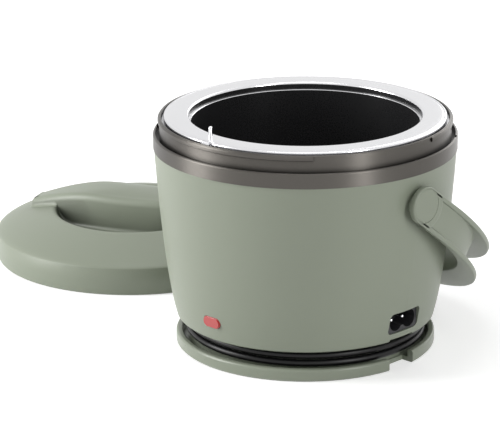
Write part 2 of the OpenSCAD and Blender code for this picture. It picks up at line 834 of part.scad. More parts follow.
module inlet_pins() color(steel) {
  for (s = [-1, 1])
    translate([pole_back, s * pole_pitch / 2, inlet_z])
      rotate([0, 90, 0]) {
        cylinder(r = pole_r, h = pole_tip - pole_back - pole_r, $fn = 48);
        translate([0, 0, pole_tip - pole_back - pole_r]) sphere(r = pole_r, $fn = 48);
      }
}

module inlet_screws() color(steel) {
  for (s = [-1, 1])
    translate([ear_x - ear_t - slip - ear_head_t, s * inlet_ear_y, inlet_z])
      rotate([0, 90, 0]) {
        cylinder(r = ear_head_r, h = ear_head_t, $fn = 32);
        cylinder(r = ear_screw_r, h = ear_screw_l, $fn = 32);
      }
}

module lamp_lens() color([0.80, 0.12, 0.10]) {
  translate([0, -lamp_y + lens_depth, lamp_z])
    rotate([90, 0, 0]) {
      linear_extrude(lens_depth + lamp_proud - 0.5) pill(lamp_w, lamp_h);
      linear_extrude(lens_depth + lamp_proud) pill(lamp_w - 1, lamp_h - 1);
      linear_extrude(1) pill(lamp_w + 2.4, lamp_h + 2.4);
    }
}

module lamp_bulb() color([0.95, 0.60, 0.40, 0.6]) {
  translate([-bulb_l / 2, -bulb_y, lamp_z])
    rotate([0, 90, 0]) {
      translate([0, 0, bulb_r]) cylinder(r = bulb_r, h = bulb_l - bulb_r, $fn = 48);
      translate([0, 0, bulb_r]) sphere(r = bulb_r, $fn = 48);
    }
}

module lamp_holder() color([0.25, 0.26, 0.25]) {
  back = bulb_y - bulb_r - holder_wall;
  front = lamp_y - lens_depth - slip;
  leg_t = holder_wall - slip;
  difference() {
    union() {
      translate([-lamp_w / 2 - 2, -front, lamp_z - lamp_h / 2 - 2]) cube([lamp_w + 4, front - back, lamp_h + 4]);
      translate([-lamp_w / 2 - 2, -back - leg_t, plate_z1 + slip]) cube([lamp_w + 4, leg_t, lamp_z - plate_z1]);
    }
    translate([-bulb_l / 2 - 1, -bulb_y, lamp_z])
      rotate([0, 90, 0]) cylinder(r = bulb_r + slip, h = bulb_l + 2, $fn = 48);
    translate([-bulb_l / 2 - 1, -front - cut, lamp_z - bulb_r - slip])
      cube([bulb_l + 2, front - bulb_y + cut, 2 * (bulb_r + slip)]);
    for (s = [-1, 1])
      translate([s * 2, -back + cut, lamp_z]) rotate([90, 0, 0]) cylinder(r = 0.8, h = 5, $fn = 24);
  }
}

module mains_wires() color([0.15, 0.15, 0.55]) {
  pole_y = pole_pitch / 2;
  fuse_x = fuse_l / 2 + fuse_lead_l + seat;
  tab_y = thermostat_r + tab_out + tab_w / 2 + mains_r + seat;
  tube([
    [pole_back - seat, pole_y, inlet_z],
    [pole_back - 9 * mains_r, pole_y, inlet_z],
    [fuse_x + 8 * mains_r, fuse_y, (inlet_z + fuse_z) / 2],
    [fuse_x + 3 * mains_r, fuse_y, fuse_z],
    [fuse_x, fuse_y, fuse_z]
  ], mains_r, wire_sides, [0, 1, 0]);
  tube([
    [pole_back - seat, -pole_y, inlet_z],
    [pole_back - 9 * mains_r, -pole_y, inlet_z],
    [2 * thermostat_r, -tab_y - 6 * mains_r, (inlet_z + tab_z) / 2],
    [4 * mains_r, -tab_y - mains_r, tab_z - 4 * mains_r],
    [0, -tab_y, tab_z]
  ], mains_r, wire_sides, [0, 1, 0]);
}

module heater_wires() color([0.70, 0.70, 0.66]) {
  fuse_x = fuse_l / 2 + fuse_lead_l + seat;
  tab_y = thermostat_r + tab_out + tab_w / 2 + lead_r + seat;
  tube([
    [-fuse_x, fuse_y, fuse_z],
    [-fuse_x - 5 * lead_r, fuse_y, fuse_z],
    [18 * lead_r - lead_x, 17 * lead_r, well_under - 5 * lead_r],
    [-lead_x, 8 * lead_r, well_under + 3 * lead_r],
    [-lead_x, 6 * lead_r, heater_z0 + 7 * lead_r]
  ], lead_r, wire_sides, [0, 1, 0]);
  tube([
    [0, tab_y, tab_z],
    [-5 * lead_r, tab_y, tab_z],
    [22 * lead_r - lead_x, 6 * lead_r, well_under - 11 * lead_r],
    [-lead_x, -3 * lead_r, well_under - 5 * lead_r],
    [-lead_x, -6 * lead_r, heater_z0 + 7 * lead_r]
  ], lead_r, wire_sides, [0, 1, 0]);
}

module lamp_wires() color([0.60, 0.16, 0.12]) {
  start_y = -bulb_y + bulb_r + holder_wall + seat;
  pin_under = inlet_z - pole_r - lamp_lead_r - seat;
  for (s = [-1, 1])
    tube([
      [s * 2, start_y, lamp_z],
      [s * 2, start_y + 12 * lamp_lead_r, lamp_z],
      [(2 + s * 0.3) * pole_pitch, start_y / 2 - s * 2 * lamp_lead_r, pin_under + (s - 1) * 2 * lamp_lead_r],
      [pole_back + 2, -s * pole_pitch / 2, pin_under]
    ], lamp_lead_r, wire_sides);
}

module food_pot() color(steel) {
  n = 8;
  under = rim_z - rim_t;
  out_r = mouth_r + pot_wall;
  step_z = rim_z - step_d;
  bead_r = out_r + 2;
  difference() {
    rotate_extrude()
      polygon(concat(
        [[0, pot_floor - pot_wall]],
        arc([pot_out_r - pot_corner - pot_wall, pot_floor + pot_corner], pot_corner + pot_wall, -90, 0, n),
        [[pot_out_r, step_z - pot_wall], [out_r, step_z], [out_r, under]],
        [[bead_r, under], [bead_r, bead_z + chamfer], [bead_r + chamfer, bead_z]],
        [[bead_r + bead_w - chamfer, bead_z], [bead_r + bead_w, bead_z + chamfer], [bead_r + bead_w, under]],
        [[pot_rim_r - 0.2, under], [pot_rim_r, under + 0.2], [pot_rim_r, rim_z - 0.2], [pot_rim_r - 0.2, rim_z]],
        arc([mouth_r + mouth_round, rim_z - mouth_round], mouth_round, 90, 180, 6),
        [[mouth_r, step_z + chamfer], [pot_in_r, step_z]],
        arc([pot_in_r - pot_corner, pot_floor + pot_corner], pot_corner, 0, -90, n),
        [[0, pot_floor]]
      ));
    translate([pin_x, -pin_y, bead_z]) cylinder(r = pin_r + 0.04, h = bead_d + cut, $fn = 48);
  }
}

module locating_pin() color(steel) {
  translate([pin_x, -pin_y, 0]) {
    translate([0, 0, rim_z - rim_t - slip - pin_foot_t]) cylinder(r = pin_r + 0.8, h = pin_foot_t, $fn = 48);
    translate([0, 0, rim_z - rim_t - pin_foot_t / 2])
      cylinder(r = pin_r, h = rim_t + pin_foot_t / 2 + pin_h - pin_r, $fn = 48);
    translate([0, 0, rim_z + pin_h - pin_r]) sphere(r = pin_r, $fn = 48);
  }
}

module pin_bracket() color(alloy) {
  translate([bracket_x - bracket_w / 2, -neck_in_r + 0.25, rim_z - 2.4])
    cube([bracket_w, neck_in_r - 0.25 - pot_rim_r - 0.05, 3]);
}

module pin_clip() color(steel) {
  translate([clip_x, -(pot_rim_r + clip_wire_r + 0.15), clip_z])
    rotate([90, 0, 0])
      difference() {
        rotate_extrude() translate([clip_r, 0]) circle(r = clip_wire_r, $fn = 24);
        translate([-3, 0, -1]) cube([3, 3, 2]);
      }
}

// Half outline of a bail: straight arms and an elliptical bow
function bail_outline(half_w, reach) = concat(
  [[half_w, 0]],
  [for (i = [0:32]) let(a = 180 * i / 32) [half_w * cos(a), -arm_straight - (reach - arm_straight) * sin(a)]],
  [[-half_w, 0]]
);

module bail_slice(w_out, reach_out, w_in, reach_in, width) {
  rotate([90, 0, 0])
    linear_extrude(width, center = true)
      difference() {
        polygon(bail_outline(w_out, reach_out));
        translate([0, cut]) polygon(concat([[w_in, cut]], bail_outline(w_in, reach_in + cut), [[-w_in, cut]]));
      }
}

module at_rest_turn() translate([0, 0, pivot_z]) rotate([90 - rest_drop, 0, 0]) children();

module carry_handle() color(sage) {
  at_rest_turn()
    difference() {
      union() {
        bail_slice(web_x, web_reach, arm_x, web_reach - strap_t, strap_w);
        for (s = [-1, 1])
          translate([0, s * (strap_w - rail_w) / 2, 0])
            bail_slice(boss_face, rail_reach, arm_x + 0.6, web_reach - 0.8, rail_w);
        for (s = [-1, 1])
          translate([s * arm_x, 0, 0]) rotate([0, s * 90, 0]) cylinder(r = boss_r, h = boss_face - arm_x);
        for (s = [-1, 1])
          intersection() {
            translate([s * arm_x, 0, 0]) rotate([0, s * 90, 0]) cylinder(r = arm_pad_r, h = boss_face - arm_x);
            translate([s * arm_x, 0, -strap_w]) cube([3 * strap_w, strap_w, 2 * strap_w], center = true);
          }
      }
      for (s = [-1, 1]) {
        translate([s * (arm_x - cut), 0, 0])
          rotate([0, s * 90, 0]) cylinder(r = pivot_r + 0.02, h = boss_face - arm_x + 2 * cut);
        translate([s * (boss_face - cap_t - pin_head_t - 0.1), 0, 0])
          rotate([0, s * 90, 0]) cylinder(r = pin_head_r + 0.1, h = 4);
        translate([s * (boss_face - cap_t - 0.05), 0, 0])
          rotate([0, s * 90, 0]) cylinder(r = cap_r + 0.1, h = 4);
      }
    }
}

module handle_cap(side) color(sage) {
  at_rest_turn()
    translate([side * (boss_face - cap_t), 0, 0])
      rotate([0, side * 90, 0])
        rotate_extrude()
          polygon([[0, 0], [cap_r, 0], [cap_r, cap_t - 0.2], [cap_r - 0.3, cap_t], [0, cap_t]]);
}

module handle_cap_left() handle_cap(-1);
module handle_cap_right() handle_cap(1);

module pivot_pin(side) color(steel) {
  tail = pivot_in - washer_t - 0.8;
  head = boss_face - cap_t - pin_head_t - 0.05;
  at_rest_turn()
    translate([side * tail, 0, 0])
      rotate([0, side * 90, 0]) {
        cylinder(r = pivot_r, h = head - tail + pin_head_t);
        translate([0, 0, head - tail]) cylinder(r = pin_head_r, h = pin_head_t);
      }
}

module pivot_pin_left() pivot_pin(-1);
module pivot_pin_right() pivot_pin(1);

module pivot_washer(side) color(brass) {
  at_rest_turn()
    translate([side * (pivot_in - slip), 0, 0])
      rotate([0, -side * 90, 0])
        difference() {
          cylinder(r = pivot_r + 3.2, h = washer_t);
          translate([0, 0, -cut]) cylinder(r = pivot_r + 0.02, h = washer_t + 2 * cut);
        }
}

module pivot_washer_left() pivot_washer(-1);
module pivot_washer_right() pivot_washer(1);

module on_lid() translate(lid_at) children();

// Line of the lid's dome from the skirt to the finger well, drawn in by inset
function dome_line(inset, n) = [
  for (i = [0:n])
    curve_point(
      i / n, [lid_r - inset, skirt_h], [lid_r - shoulder_in - inset, shoulder_h - inset], [finger_r + inset, dome_h - inset]
    )
];

module bar_outline(inset) {
  end_w = 6;
  bow = bar_w - end_w;
  bow_r = (bar_l * bar_l + bow * bow) / (2 * bow);
  intersection() {
    translate([0, bow_r - bar_w]) circle(r = bow_r - inset, $fn = 256);
    translate([0, bar_w - bow_r]) circle(r = bow_r - inset, $fn = 256);
    circle(r = bar_l + 0.5 - inset);
  }
}

module grip_bar(inset, z0) {
  long_r = (bar_l * bar_l + bar_drop * bar_drop) / (2 * bar_drop);
  cross_r = 40;
  intersection() {
    translate([0, 0, z0]) linear_extrude(bar_h - z0 + cut) bar_outline(inset);
    translate([0, 0, bar_h - long_r])
      rotate([90, 0, 0]) cylinder(r = long_r - inset, h = 3 * bar_w, center = true, $fn = 256);
    translate([0, 0, bar_h - cross_r])
      rotate([0, 90, 0]) cylinder(r = cross_r - inset, h = 3 * bar_l, center = true, $fn = 128);
  }
}

module lid_shell() color(sage) {
  under = finger_z - lid_wall;
  skirt_in = lid_r - lid_wall;
  bowl_r = dome_h - finger_z;
  dome_in = dome_line(lid_wall, 10);
  on_lid()
    rotate([0, 0, bar_turn]) {
      difference() {
        union() {
          rotate_extrude()
            polygon(concat(
              [[skirt_in, 0], [lid_r - 0.4, 0], [lid_r, 0.4]],
              dome_line(0, 10),
              arc([finger_r - bowl_r, dome_h], bowl_r, -8, -90, 6),
              [[0, finger_z], [0, under]],
              arc([finger_r - bowl_r, dome_h], bowl_r + lid_wall, -90, -20, 5),
              [for (i = [len(dome_in) - 1:-1:0]) dome_in[i]]
            ));
          grip_bar(0, finger_z - 1);
        }
        grip_bar(lid_wall, under - cut);
      }
      for (a = [63, 243])
        intersection() {
          band(skirt_in + 0.4, neck_r + 0.4, lug_z, lug_z + lug_t);
          wedge(2 * lid_r, a, a + 40, 0, skirt_h);
        }
    }
}

module lid_liner() color([0.86, 0.87, 0.84]) {
  z0 = rim_z - ring_z1 + 0.8;
  z1 = z0 + liner_t;
  up = finger_z - lid_wall - slip;
  edge_top = skirt_h - seat;
  out_r = lid_r - lid_wall - seat;
  seal_r = pot_rim_r - seal_in;
  on_lid()
    rotate_extrude()
      polygon([
        [0, z1], [0, z0],
        [seal_r - seal_w, z0], [seal_r - seal_w, z0 + liner_step], [seal_r, z0 + liner_step], [seal_r, z0],
        [out_r, z0], [out_r, edge_top], [out_r - liner_edge_t, edge_top], [out_r - liner_edge_t, z1],
        [liner_up_r, z1], [liner_up_r, up], [liner_up_r - liner_t, up], [liner_up_r - liner_t, z1]
      ]);
}

module lid_gasket() color([0.80, 0.80, 0.78]) {
  z0 = rim_z - ring_z1;
  seal_r = pot_rim_r - seal_in;
  on_lid() band(seal_r - slip, seal_r - seal_w + slip, z0, z0 + seal_t);
}

module power_cord() color(black) in_bay() tube(cord_line(1), cord_d / 2, cord_sides);

module relief(r0, r1) {
  rotate([-90, 0, 0])
    difference() {
      cylinder(r1 = r0, r2 = r1, h = relief_l, $fn = 48);
      for (i = [1:2])
        translate([0, 0, i * relief_l / 3]) band(2 * r0, r1 - 0.2, -0.4, 0.4);
    }
}

module cord_connector() color(black) {
  front = lane_end - relief_l - conn_l;
  in_bay()
    translate([bay_lane_x, 0, conn_z]) {
      difference() {
        translate([0, front + conn_l, 0])
          rotate([90, 90, 0]) linear_extrude(conn_l) two_lobes(conn_h, conn_w, 0.8, 0.8);
        for (s = [-1, 1])
          translate([0, front - cut, s * pole_pitch / 2])
            rotate([-90, 0, 0]) cylinder(r = pole_r + 0.12, h = cavity_depth, $fn = 48);
      }
      translate([0, front + conn_l, 0]) relief(3.4, 2.6);
    }
}

module plug_body() color(black) {
  back = -lane_end + relief_l;
  in_bay()
    translate([bay_lane_x, 0, plug_z]) {
      translate([0, back + plug_l, 0])
        rotate([90, 0, 0]) linear_extrude(plug_l) soft_rect(plug_w, plug_t, 3);
      translate([0, back, 0]) rotate([0, 0, 180]) relief(3.4, 2.6);
    }
}

module plug_blades() color(brass) {
  front = -lane_end + relief_l + plug_l;
  in_bay()
    for (s = [-1, 1])
      translate([bay_lane_x + s * 6.35, front + slip, plug_z])
        translate([-0.75, 0, -3.15])
          difference() {
            cube([1.5, blade_l, 6.3]);
            translate([-cut, blade_l - 3, 3.15])
              rotate([0, 90, 0]) cylinder(r = 1.5, h = 1.5 + 2 * cut, $fn = 32);
          }
}

base_tray();
foot_pads();
base_screws();
bottom_plate();
outer_shell();
collar_ring();
heating_well();
heater_band();
band_strap();
insulation_sleeve();
thermostat();
thermostat_bracket();
thermal_fuse();
fuse_clip();
inlet_socket();
inlet_pins();
inlet_screws();
lamp_lens();
lamp_bulb();
lamp_holder();
mains_wires();
heater_wires();
lamp_wires();
food_pot();
locating_pin();
pin_bracket();
pin_clip();
carry_handle();
handle_cap_left();
handle_cap_right();
pivot_pin_left();
pivot_pin_right();
pivot_washer_left();
pivot_washer_right();
lid_shell();
lid_liner();
lid_gasket();
power_cord();
cord_connector();
plug_body();
plug_blades();
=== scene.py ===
import math
import bmesh
import bpy
from mathutils import Matrix, Vector


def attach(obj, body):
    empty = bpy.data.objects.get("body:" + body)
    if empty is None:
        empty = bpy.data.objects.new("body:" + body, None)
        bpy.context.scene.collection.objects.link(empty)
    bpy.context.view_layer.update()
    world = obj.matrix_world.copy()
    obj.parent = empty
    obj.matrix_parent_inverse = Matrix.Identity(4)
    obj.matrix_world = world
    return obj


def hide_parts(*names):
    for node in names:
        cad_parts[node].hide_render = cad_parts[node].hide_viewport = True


# An electric lunch box: a base with its cord wound round the spool, a steel pot that lifts out, a bail
# handle, and a lid that lies beside the base. Shapes are written in mm and made in metres. The camera,
# the lights, the floor and the materials are in metres. Angles are in degrees unless they say otherwise.
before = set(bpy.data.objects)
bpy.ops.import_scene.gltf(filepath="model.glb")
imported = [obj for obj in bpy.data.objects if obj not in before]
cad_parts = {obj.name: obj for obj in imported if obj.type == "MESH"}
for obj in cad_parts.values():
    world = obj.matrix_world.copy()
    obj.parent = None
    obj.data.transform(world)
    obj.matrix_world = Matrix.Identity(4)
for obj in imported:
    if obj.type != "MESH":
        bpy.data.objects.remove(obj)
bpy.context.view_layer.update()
scene = bpy.context.scene
MM = 0.001

# Camera, fitted to the photograph: 1.5 m from the object's axis, turned 43 degrees to its right and looking
# 17.6 degrees down. The yaw puts the axis a little right of the picture's middle, as in the photograph
CAMERA_TURN = math.radians(43.0)
CAMERA_PITCH = 0.30719  # radians
CAMERA_DISTANCE = 1.5
CAMERA_HEIGHT = 0.54499
CAMERA_LENS, SENSOR_W = 216.67, 36
PHOTO_W, AXIS_RIGHT_PX = 500, 55.3
CAMERA_YAW = math.atan(AXIS_RIGHT_PX / (CAMERA_LENS / SENSOR_W * PHOTO_W))
ahead = Vector((-math.sin(CAMERA_TURN), math.cos(CAMERA_TURN), 0))
aside = Vector((math.cos(CAMERA_TURN), math.sin(CAMERA_TURN), 0))
upward = Vector((0, 0, 1))
look = ahead * math.cos(CAMERA_PITCH) - upward * math.sin(CAMERA_PITCH)
tilted_up = ahead * math.sin(CAMERA_PITCH) + upward * math.cos(CAMERA_PITCH)
look = (look * math.cos(CAMERA_YAW) - aside * math.sin(CAMERA_YAW)).normalized()
camera_right = look.cross(tilted_up).normalized()
camera_up = camera_right.cross(look)
camera = bpy.data.objects.new("camera", bpy.data.cameras.new("camera"))
scene.collection.objects.link(camera)
camera.data.sensor_width = SENSOR_W
camera.data.lens = CAMERA_LENS
camera.data.clip_start = 0.1
camera.data.clip_end = 20
placed = Matrix((camera_right, camera_up, -look)).transposed().to_4x4()
placed.translation = -ahead * CAMERA_DISTANCE + upward * CAMERA_HEIGHT
camera.matrix_world = placed
scene.camera = camera

# Helpers that make meshes
SAME_POINT, ON_AXIS = 1e-6, 1e-9
LATHE_STEPS = 192


def piece_from(name, verts, faces):
    """A new object from points in metres and faces."""
    mesh = bpy.data.meshes.new(name)
    mesh.from_pydata([tuple(v) for v in verts], [], faces)
    mesh.update()
    bm = bmesh.new()
    bm.from_mesh(mesh)
    bmesh.ops.remove_doubles(bm, verts=bm.verts, dist=SAME_POINT)
    bmesh.ops.recalc_face_normals(bm, faces=bm.faces)
    bm.to_mesh(mesh)
    bm.free()
    piece = bpy.data.objects.new(name, mesh)
    scene.collection.objects.link(piece)
    return piece


def soften(piece, degrees=32):
    """Smooth shading that keeps edges sharper than the given angle."""
    for polygon in piece.data.polygons:
        polygon.use_smooth = True
    limit = math.radians(degrees)
    bm = bmesh.new()
    bm.from_mesh(piece.data)
    for e in bm.edges:
        e.smooth = len(e.link_faces) == 2 and e.calc_face_angle(0) < limit
    bm.to_mesh(piece.data)
    bm.free()


def joined(name, parts, place):
    """One piece from several lists of points and faces, put in its place."""
    verts, faces = [], []
    for part_verts, part_faces in parts:
        base = len(verts)
        verts += [place @ Vector(v) for v in part_verts]
        faces += [tuple(base + k for k in f) for f in part_faces]
    return piece_from(name, verts, faces)


def rings_to_faces(rings, cap_first=False, cap_last=False):
    """Faces that join closed rings of equally many point numbers."""
    faces = []
    n = len(rings[0])
    for a, b in zip(rings, rings[1:]):
        for k in range(n):
            m = (k + 1) % n
            faces.append((a[k], a[m], b[m], b[k]))
    if cap_first:
        faces.append(tuple(reversed(rings[0])))
    if cap_last:
        faces.append(tuple(rings[-1]))
    return faces


def lathe(profile, steps):
    """Points and faces of a closed profile of (r, z), turned round the upright axis."""
    verts, faces = [], []
    n = len(profile)
    for i in range(steps):
        a = 2 * math.pi * i / steps
        for r, z in profile:
            verts.append(Vector((r * math.cos(a), r * math.sin(a), z)))
    for i in range(steps):
        j = (i + 1) % steps
        for k in range(n):
            m = (k + 1) % n
            k_on_axis, m_on_axis = profile[k][0] < ON_AXIS, profile[m][0] < ON_AXIS
            if k_on_axis and m_on_axis:
                continue
            if k_on_axis:
                faces.append((i * n + k, j * n + m, i * n + m))
            elif m_on_axis:
                faces.append((i * n + k, j * n + k, i * n + m))
            else:
                faces.append((i * n + k, j * n + k, j * n + m, i * n + m))
    return verts, faces


def ring_sector(r_in, r_out, z0, z1, a0, a1, n=16):
    """Points and faces of a block that runs round part of a circle."""
    verts, rings = [], []
    for i in range(n + 1):
        a = math.radians(a0 + (a1 - a0) * i / n)
        rings.append([len(verts) + k for k in range(4)])
        for r, z in ((r_in, z0), (r_out, z0), (r_out, z1), (r_in, z1)):
            verts.append(Vector((r * math.cos(a), r * math.sin(a), z)) * MM)
    return verts, rings_to_faces(rings, cap_first=True, cap_last=True)


def tube(name, points, radius, sides=14):
    """A tube along points, with flat ends."""
    verts, rings = [], []
    last = len(points) - 1
    for i, p in enumerate(points):
        t = (points[min(i + 1, last)] - points[max(i - 1, 0)]).normalized()
        n = t.cross(upward).normalized()
        b = n.cross(t)
        rings.append([len(verts) + k for k in range(sides)])
        for k in range(sides):
            a = 2 * math.pi * (k + 0.5) / sides
            verts.append(p + radius * (math.cos(a) * n + math.sin(a) * b))
    return piece_from(name, verts, rings_to_faces(rings, cap_first=True, cap_last=True))


def arc(cx, cy, r, a0, a1, n):
    """Points of an arc, angles in degrees."""
    angles = [math.radians(a0 + (a1 - a0) * i / n) for i in range(n + 1)]
    return [(cx + r * math.cos(a), cy + r * math.sin(a)) for a in angles]


def curve_point(t, p, q, r):
    """A point of the curve that leaves p towards q and arrives at r from it."""
    return tuple((1 - t) ** 2 * a + 2 * t * (1 - t) * b + t * t * c for a, b, c in zip(p, q, r))


def between(p, q, t):
    """The point a share t of the way from p to q."""
    return tuple((1 - t) * a + t * b for a, b in zip(p, q))


# The cord: a lead stored round the spool, with its ends in a bay behind. The values are part.scad's
CORD_D, CORD_GAP, CORD_PITCH = 3.7, 0.55, 4.2
SPOOL_R, TRAY_FLOOR = 58.8, 2.4
BAY_TURN, FRONT_TURN, WOUND_TURN = 135.0, 313.8, 720
CORD_FRONT_Z = 12.0
BEND_R, LANE_X, RISE_SHARE = 20.0, 30.0, 0.65
CORD_R = SPOOL_R + CORD_D / 2 + CORD_GAP
RELIEF_L, CONN_L, BAY_GAP, BLADE_L, PLUG_L = 7.0, 19.0, 2.5, 15.9, 18.0
CONN_H, PLUG_H, LAID_GAP = 13.4, 10.0, 0.3
CONN_Z = TRAY_FLOOR + LAID_GAP + CONN_H / 2
PLUG_Z = TRAY_FLOOR + LAID_GAP + PLUG_H / 2
LANE_END = (2 * RELIEF_L + CONN_L + BAY_GAP + BLADE_L + PLUG_L) / 2
BEND_X = LANE_X - BEND_R
BEND_Y = math.sqrt((CORD_R - BEND_R) ** 2 - BEND_X ** 2)
JOIN = math.degrees(math.atan2(BEND_Y, BEND_X))
FRONT = FRONT_TURN - BAY_TURN


def winding_z(turn):
    """Height of the wound cord's centre line at a turn from the bay."""
    return CORD_FRONT_Z + CORD_PITCH * (FRONT - turn) / 360


def ease(t):
    """A soft step from 0 to 1."""
    s = max(0.0, min(1.0, t))
    return s * s * (3 - 2 * s)


def bend_point(s, lane_z, wound_z, side):
    """A point of the bend between the bay's lane (s = 0) and the spool (s = 1)."""
    a = math.radians(JOIN * s)
    return (
        BEND_X + BEND_R * math.cos(a),
        side * (BEND_Y + BEND_R * math.sin(a)),
        lane_z + (wound_z - lane_z) * ease(s / RISE_SHARE),
    )


def cord_path():
    """The points of part.scad's centre line, in metres, with more of them."""
    wound, bend, lane = 300, 24, 4
    lane_ys = [LANE_END + (BEND_Y - LANE_END) * i / lane for i in range(lane)]
    points = [(LANE_X, y, CONN_Z) for y in lane_ys]
    points += [bend_point(i / bend, CONN_Z, winding_z(JOIN), 1) for i in range(bend)]
    for i in range(wound + 1):
        turn = JOIN + (WOUND_TURN - 2 * JOIN) * i / wound
        a = math.radians(turn)
        points.append((CORD_R * math.cos(a), CORD_R * math.sin(a), winding_z(turn)))
    last_z = winding_z(WOUND_TURN - JOIN)
    points += [bend_point(i / bend, PLUG_Z, last_z, -1) for i in reversed(range(bend))]
    points += [(LANE_X, -y, PLUG_Z) for y in reversed(lane_ys)]
    turned = Matrix.Rotation(math.radians(BAY_TURN), 3, "Z")
    return [turned @ Vector(p) * MM for p in points]


route = cord_path()
lead = tube("lead", route, CORD_D / 2 * MM)
soften(lead)
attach(lead, "base")
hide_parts("power_cord")

# Lid: a dome with a round finger well, and a lens-shaped grip bar across it
LID_AWAY, LID_TURN = 174.5, math.radians(167.0)
LID_AT = Vector((LID_AWAY * math.cos(LID_TURN), LID_AWAY * math.sin(LID_TURN), 0.0))
LID_R, SKIRT_H, DOME_H, LID_WALL, LIP_ROUND = 78.8, 15.0, 26.5, 1.9, 0.8
SHOULDER_IN, SHOULDER_H = 3.0, 19.0
FINGER_R, FINGER_Z = 45.0, 16.4
NECK_R, LUG_GAP, LUG_ROOT, LUG_Z, LUG_TOP, LUG_TURNS, LUG_SPAN = 75.7, 0.4, 0.4, 2, 4.4, (63, 243), 40
# The bar: its length and width each way from the middle, the drop and the radius of its crown, its round
# shoulder, the flare of its foot, and the line in its middle that the crown is built from
BAR_TURN = 24.0
BAR_H, BAR_DROP, BAR_L, BAR_W, BAR_END_W, BAR_END_BOW = 38.0, 11.0, 62.0, 17.0, 6.0, 0.5
CROWN_R, CROWN_BLEND, CROWN_SHARES = 40, 2.6, (0.0, 0.3, 0.6, 0.85)
BAR_EDGE, BAR_FLARE, BAR_SUNK, FOOT_DEPTH = 4.2, 2.6, 0.25, 1
SPINE_SHARE, SPINE_SHORT = 0.97, 9
CORNER_CUTS, LONG_SIDE = 3, 0.9


def dome_line(inset, n):
    """The dome's curve from the skirt over the shoulder to the well's edge."""
    skirt = (LID_R - inset, SKIRT_H)
    shoulder = (LID_R - SHOULDER_IN - inset, SHOULDER_H - inset)
    edge = (FINGER_R + inset, DOME_H - inset)
    return [curve_point(i / n, skirt, shoulder, edge) for i in range(n + 1)]


def lid_upper():
    """The lid's upper face, from the skirt to the floor of the finger well."""
    bowl_r = DOME_H - FINGER_Z
    dome = dome_line(0, 36)[:-2]
    wall = arc(FINGER_R - bowl_r, DOME_H, bowl_r, -12, -90, 14)
    crest = [curve_point(i / 6, dome[-1], (FINGER_R, DOME_H), wall[0]) for i in range(1, 6)]
    return [(LID_R, SKIRT_H / 2)] + dome + crest + wall


def lid_profile():
    """The lid's section in metres: round the lip, over the upper face and back inside."""
    bowl_r = DOME_H - FINGER_Z
    points = [(LID_R - LID_WALL, 0.0), (LID_R - LIP_ROUND, 0.0)]
    points += arc(LID_R - LIP_ROUND, LIP_ROUND, LIP_ROUND, -60, 0, 3) + lid_upper()
    points += [(FINGER_R / 2, FINGER_Z), (0.0, FINGER_Z), (0.0, FINGER_Z - LID_WALL)]
    points += arc(FINGER_R - bowl_r, DOME_H, bowl_r + LID_WALL, -90, -20, 8)
    points += list(reversed(dome_line(LID_WALL, 20)))
    return [(r * MM, z * MM) for r, z in points]


# The well's last two points are left off, because they lie close to its floor
UPPER_LINE = sorted(lid_upper()[:-2])


def lid_height(r):
    """Height of the lid's upper face at a distance from its centre."""
    if r <= UPPER_LINE[0][0]:
        return FINGER_Z
    for (r0, z0), (r1, z1) in zip(UPPER_LINE, UPPER_LINE[1:]):
        if r0 <= r <= r1 and r1 > r0:
            return z0 + (z1 - z0) * (r - r0) / (r1 - r0)
    return SKIRT_H


def bar_outline(n):
    """The lens outline with rounded corners, as points and outward normals."""
    bow = BAR_W - BAR_END_W
    bow_r = (BAR_L ** 2 + bow ** 2) / (2 * bow)
    along = [BAR_L * (1 - 2 * i / n) for i in range(n + 1)]
    side = [(x, BAR_W - bow_r + math.sqrt(bow_r ** 2 - x ** 2)) for x in along]
    end_a = math.degrees(math.atan2(BAR_END_W, BAR_L))
    left = arc(0, 0, BAR_L + BAR_END_BOW, 180 - end_a, 180 + end_a, 8)[1:-1]
    points = side + left + [(-x, -y) for x, y in side + left]
    for _ in range(CORNER_CUTS):
        cut = []
        for p, q in zip(points, points[1:] + points[:1]):
            shares = (0.25, 0.75) if math.dist(p, q) > LONG_SIDE else (0.5,)
            cut += [between(p, q, t) for t in shares]
        points = cut
    count = len(points)
    normals = []
    for i in range(count):
        dx = points[(i + 1) % count][0] - points[i - 1][0]
        dy = points[(i + 1) % count][1] - points[i - 1][1]
        normals.append((dy / math.hypot(dx, dy), -dx / math.hypot(dx, dy)))
    return points, normals


def bar_top(x, y):
    """Height of the bar's crowned top, the two crowns blended softly."""
    long_r = (BAR_L ** 2 + BAR_DROP ** 2) / (2 * BAR_DROP)
    along = long_r - math.sqrt(max(long_r ** 2 - x * x, 0))
    across = CROWN_R - math.sqrt(max(CROWN_R ** 2 - y * y, 0))
    return BAR_H - (along ** CROWN_BLEND + across ** CROWN_BLEND) ** (1 / CROWN_BLEND)


def quarter(n):
    """The angles of a quarter round in n steps, in radians."""
    return [math.radians(90 * i / n) for i in range(n + 1)]


def inside(p, n, d):
    """A point of the outline moved inwards, against its normal."""
    return p[0] - n[0] * d, p[1] - n[1] * d


def crown_point(p, n, share):
    """A point on the crown, a share of the way from the spine to the shoulder."""
    x, y = inside(p, n, BAR_EDGE)
    spine_l = BAR_L - SPINE_SHORT
    spine_x = max(-spine_l, min(spine_l, p[0] * SPINE_SHARE))
    x, y = spine_x + (x - spine_x) * share, y * share
    return x, y, bar_top(x, y)


def shoulder_point(p, n, a):
    """A point on the round shoulder, an angle in radians past its top."""
    x, y = inside(p, n, BAR_EDGE * (1 - math.sin(a)))
    return x, y, bar_top(*inside(p, n, BAR_EDGE)) - BAR_EDGE * (1 - math.cos(a))


